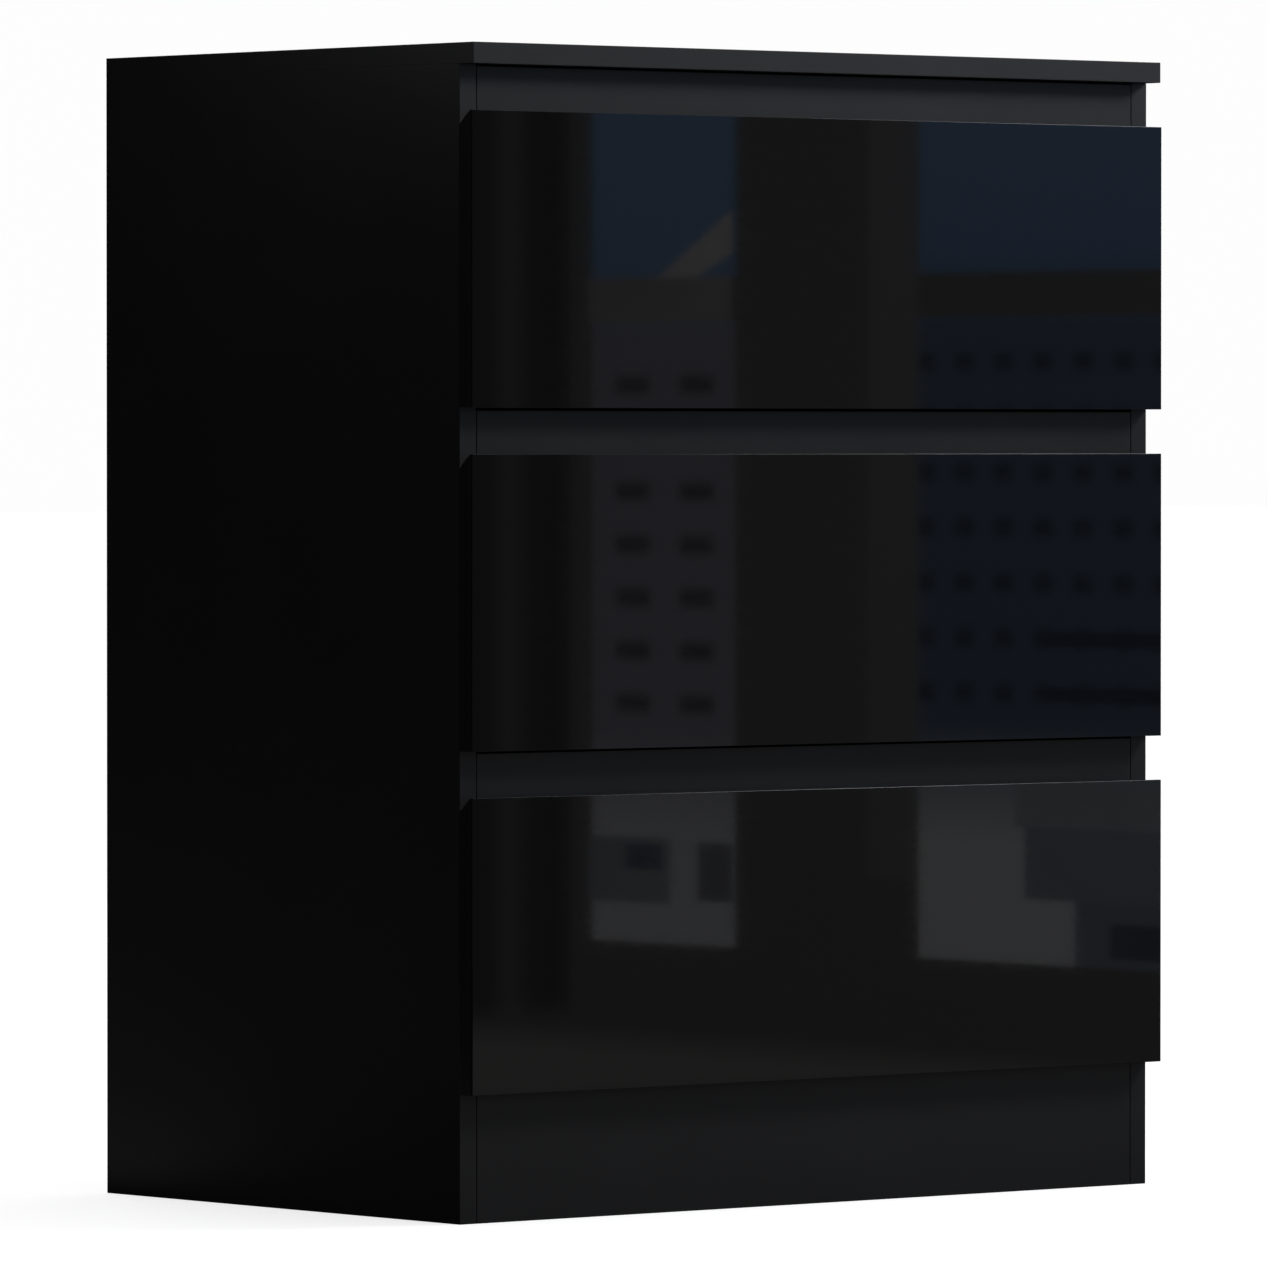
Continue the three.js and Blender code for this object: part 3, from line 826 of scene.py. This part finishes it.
block("far_transom", PANE_FAR, TRANSOM, (0.28, 0.27, 0.265))
outside("far_gable", [(-3.02, 0.72), (-2.96, 0.72), (-2.90, 0.745), (-2.90, 0.79)], (0.50, 0.48, 0.47))
block("low_house", (PANE_FAR[0], -3.0), (0.062, 0.131), (0.28, 0.29, 0.32))
block("low_house_window", (-3.07, -3.01), (0.098, 0.124), (0.13, 0.14, 0.18), 0.018)
block("low_house_end", (-2.955, PANE_FAR[1]), (0.067, 0.128), (0.19, 0.195, 0.23))
block("near_house", (-2.457, PANE_NEAR[1]), (0.159, 0.205), (0.34, 0.35, 0.39))
block("near_house_front", (-2.442, PANE_NEAR[1]), (0.086, 0.159), (0.24, 0.27, 0.31))
block("near_house_foot", (-2.366, PANE_NEAR[1]), (WINDOW_FOOT, 0.086), (0.22, 0.235, 0.28))
block("near_house_door", (-2.31, PANE_NEAR[1]), (0.03, 0.065), (0.10, 0.12, 0.15), 0.018)
for number, z in enumerate((NEAR_ROW, NEAR_ROW + STOREY)):
    block(f"ribbon_{number}", (-2.406, PANE_NEAR[1]), (z - STOREY / 7, z + STOREY / 7), (0.055, 0.07, 0.105))


# Two cards that stand on the floor: one that only the eased edges mirror, and a faint one for the left side.
def room_light(nodes):
    clouds = nodes.noise(1.5, 2, 0.5, nodes.stretched((1, 1, 1)))
    return nodes.ramp(clouds, (0.3, (0.45, 0.45, 0.46)), (0.7, (0.55, 0.55, 0.56)))


def wall_light(nodes):
    return height_ramp(nodes, (0.5, (0.020, 0.020, 0.020)), (1.2, (0.034, 0.034, 0.035)))


def standing_card(name, start, end, height, build):
    corners = [(*start, 0.0), (*end, 0.0), (*end, height), (*start, height)]
    unseen(sheet_of(name, corners, emission(name, build)))


standing_card("wall_card", (-1.42, 0.72), (-1.12, 0.98), 1.7, wall_light)
standing_card("room_card", (-3.0, -2.6), (-2.0, -3.4), 1.8, room_light)


# ---- Lamps ----
def lamp_of(name, light, towards):
    lamp = bpy.data.objects.new(name, light)
    lamp.rotation_mode = "QUATERNION"
    lamp.rotation_quaternion = Vector(towards).to_track_quat("-Z", "Y")
    bpy.context.scene.collection.objects.link(lamp)
    return lamp


def area_light(name, place, target, size, power, color=(1, 1, 1)):
    light = bpy.data.lights.new(name, "AREA")
    light.shape = "RECTANGLE"
    light.size, light.size_y = size
    light.energy = power
    light.color = color
    lamp = lamp_of(name, light, Vector(target) - Vector(place))
    lamp.location = place
    return lamp


def sun_light(name, towards, strength, angle):
    light = bpy.data.lights.new(name, "SUN")
    light.energy = strength
    light.angle = math.radians(angle)
    return lamp_of(name, light, towards)


FLAG_H = 0.38
FLAG_GAP = 2 * MM


def flag(name, start, end, level):
    """A card on the top panel's edge, which keeps the key light off the panel's upper face."""
    low = CAD_BOX[1].z + FLAG_GAP
    corners = [(*start, low), (*end, low), (*end, low + FLAG_H), (*start, low + FLAG_H)]
    card = sheet_of(name, corners, emission(name, lambda nodes: plain_light(nodes, level)))
    card.visible_camera = False
    card.visible_diffuse = False
    return card


def let_through(lamp, cards):
    """Keeps the cards from shading the lamp."""
    passed = bpy.data.collections.new(f"{lamp.name}_passes")
    for card in cards:
        passed.objects.link(card)
    lamp.light_linking.blocker_collection = passed
    for entry in passed.collection_objects:
        entry.light_linking.link_state = "EXCLUDE"


flag_y = CAD_BOX[0].y + FLAG_GAP
flag_corner = (CAD_BOX[1].x, flag_y)
flags = [flag("flag_front", (CAD_BOX[0].x, flag_y), flag_corner, (0.16, 0.16, 0.165)),
         flag("flag_right", flag_corner, (CAD_BOX[1].x, CAD_BOX[1].y), (0.20, 0.20, 0.205))]
let_through(sun_light("overhead", (-0.25, 0.0, -1.0), 2.0, 60), flags)
area_light("key", (1.55, -1.15, 1.7), (0, -0.2, 0.6), (0.55, 0.55), 22, (0.96, 0.97, 1.0))
area_light("front_fill", (0.9, -4.5, 0.9), (0, -0.3, 0.45), (2.0, 1.5), 22).visible_glossy = False
area_light("corner_glow", (-0.62, 0.1, 1.0), (-0.33, -0.2, 0.8), (0.2, 0.2), 0.18, (0.93, 0.95, 1.0))
area_light("rear_fill", (1.0, 4.2, 2.4), (0, 0.2, 0.4), (2.5, 2.0), 60)


def world_light():
    """Pale where the camera sees past the floor, and a dim room for every other ray."""
    world = bpy.data.worlds.new("studio")
    bpy.context.scene.world = world
    nodes = Nodes(world)
    towards = nodes.add("ShaderNodeTexCoord").outputs["Generated"]
    parts = nodes.add("ShaderNodeSeparateXYZ", {"Vector": towards})
    up = nodes.span(parts.outputs["Z"], -1.0, 1.0, 0.0, 1.0)
    room = nodes.ramp(up, (0.0, (0.05, 0.05, 0.05)), (0.46, (0.010, 0.010, 0.010)),
                      (0.5, (0.008, 0.008, 0.008)), (0.60, (0.010, 0.010, 0.010)),
                      (0.85, (0.05, 0.05, 0.05)), (1.0, (0.20, 0.20, 0.21)))
    dim = nodes.add("ShaderNodeBackground", {"Color": room, "Strength": 1.0})
    pale = nodes.add("ShaderNodeBackground", {"Color": (PALE, PALE, PALE, 1), "Strength": 1.0})
    mixed = nodes.add("ShaderNodeMixShader", {0: nodes.add("ShaderNodeLightPath").outputs["Is Camera Ray"]})
    nodes.put(mixed.inputs[1], dim.outputs["Background"])
    nodes.put(mixed.inputs[2], pale.outputs["Background"])
    nodes.add("ShaderNodeOutputWorld", {"Surface": mixed.outputs["Shader"]})


world_light()


# ---- Camera ----
def photo_camera():
    data = bpy.data.cameras.new("camera")
    data.lens = CAMERA_LENS
    data.sensor_width = 36.0
    data.clip_end = 200.0
    camera = bpy.data.objects.new("camera", data)
    camera.location = CAMERA_PLACE
    camera.rotation_euler = (math.pi / 2 - CAMERA_DIP, 0, -CAMERA_HEADING)
    bpy.context.scene.collection.objects.link(camera)
    bpy.context.scene.camera = camera


photo_camera()
bpy.context.scene.view_settings.view_transform = "Standard"
